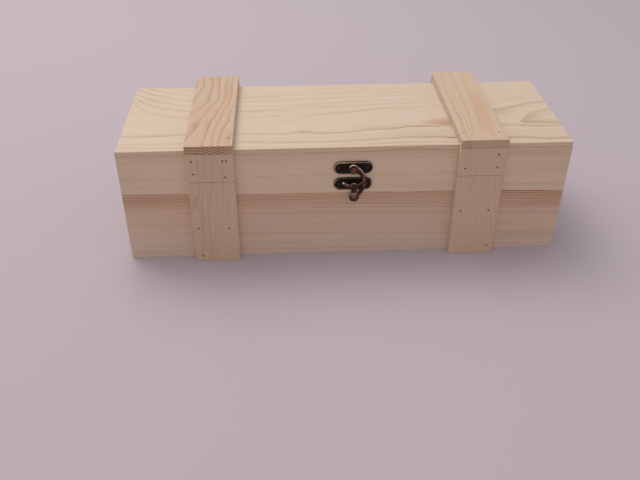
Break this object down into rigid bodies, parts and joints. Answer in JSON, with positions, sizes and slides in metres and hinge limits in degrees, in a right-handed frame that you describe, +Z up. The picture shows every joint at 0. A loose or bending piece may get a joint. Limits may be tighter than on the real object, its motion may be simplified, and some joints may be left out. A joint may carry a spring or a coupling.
{
  "type": "wine box",
  "caption": "Long low box in bare pine with battens round the front, top and back, a hinged lid and a bronze swing-arm latch in front; it holds one wine bottle lying down.",
  "frame": {"origin": "middle of the flat underside", "axes": "+X to the viewer's right along the box, -Y out of the front face with the latch, +Z up"},
  "size_m": [0.35, 0.1356, 0.105],
  "materials": {
    "pine_board": "bare planed pine, thin glued boards",
    "pine_batten": "bare planed pine with strong grain",
    "bronze": "antiqued bronze, dark",
    "worn_bronze": "antiqued bronze, worn brighter on its edges",
    "brad_steel": "dark steel wire"
  },
  "bodies": {
    "base": {"bottom_panel": "pine_board", "front_wall": "pine_board", "back_wall": "pine_board", "left_end": "pine_board", "right_end": "pine_board", "front_batten_left": "pine_batten", "front_batten_right": "pine_batten", "back_batten_left": "pine_batten", "back_batten_right": "pine_batten", "base_brad_left_1": "brad_steel", "base_brad_left_2": "brad_steel", "base_brad_left_3": "brad_steel", "base_brad_right_1": "brad_steel", "base_brad_right_2": "brad_steel", "base_brad_right_3": "brad_steel", "catch_plate": "bronze", "catch_nail_left": "bronze", "catch_nail_right": "bronze", "hinge_left_base_leaf": "bronze", "hinge_right_base_leaf": "bronze", "hinge_left_base_nail_1": "bronze", "hinge_left_base_nail_2": "bronze", "hinge_right_base_nail_1": "bronze", "hinge_right_base_nail_2": "bronze", "hinge_left_pin": "worn_bronze", "hinge_right_pin": "worn_bronze"},
    "lid": {"top_panel": "pine_board", "lid_front_rail": "pine_board", "lid_back_rail": "pine_board", "lid_left_rail": "pine_board", "lid_right_rail": "pine_board", "top_batten_left": "pine_batten", "top_batten_right": "pine_batten", "lid_front_batten_left": "pine_batten", "lid_front_batten_right": "pine_batten", "lid_back_batten_left": "pine_batten", "lid_back_batten_right": "pine_batten", "lid_brad_left_1": "brad_steel", "lid_brad_left_2": "brad_steel", "lid_brad_left_3": "brad_steel", "lid_brad_left_4": "brad_steel", "lid_brad_left_5": "brad_steel", "lid_brad_right_1": "brad_steel", "lid_brad_right_2": "brad_steel", "lid_brad_right_3": "brad_steel", "top_brad_left_1": "brad_steel", "top_brad_right_1": "brad_steel", "top_brad_right_2": "brad_steel", "latch_plate": "bronze", "latch_nail_left": "bronze", "latch_nail_right": "bronze", "hinge_left_lid_leaf": "bronze", "hinge_right_lid_leaf": "bronze", "hinge_left_lid_nail_1": "bronze", "hinge_left_lid_nail_2": "bronze", "hinge_right_lid_nail_1": "bronze", "hinge_right_lid_nail_2": "bronze", "latch_rivet": "worn_bronze"},
    "latch_arm": {"latch_arm": "worn_bronze"}
  },
  "joints": [
    {"name": "lid_hinge", "type": "hinge", "parent": "base", "child": "lid", "pos_m": [0, 0.06795, 0.07415], "axis": [-1, 0, 0], "range_deg": [0, 180]},
    {"name": "latch_swing", "type": "hinge", "parent": "lid", "child": "latch_arm", "pos_m": [0.0051, -0.05875, 0.0803], "axis": [0, -1, 0], "range_deg": [0, 180]}
  ]
}
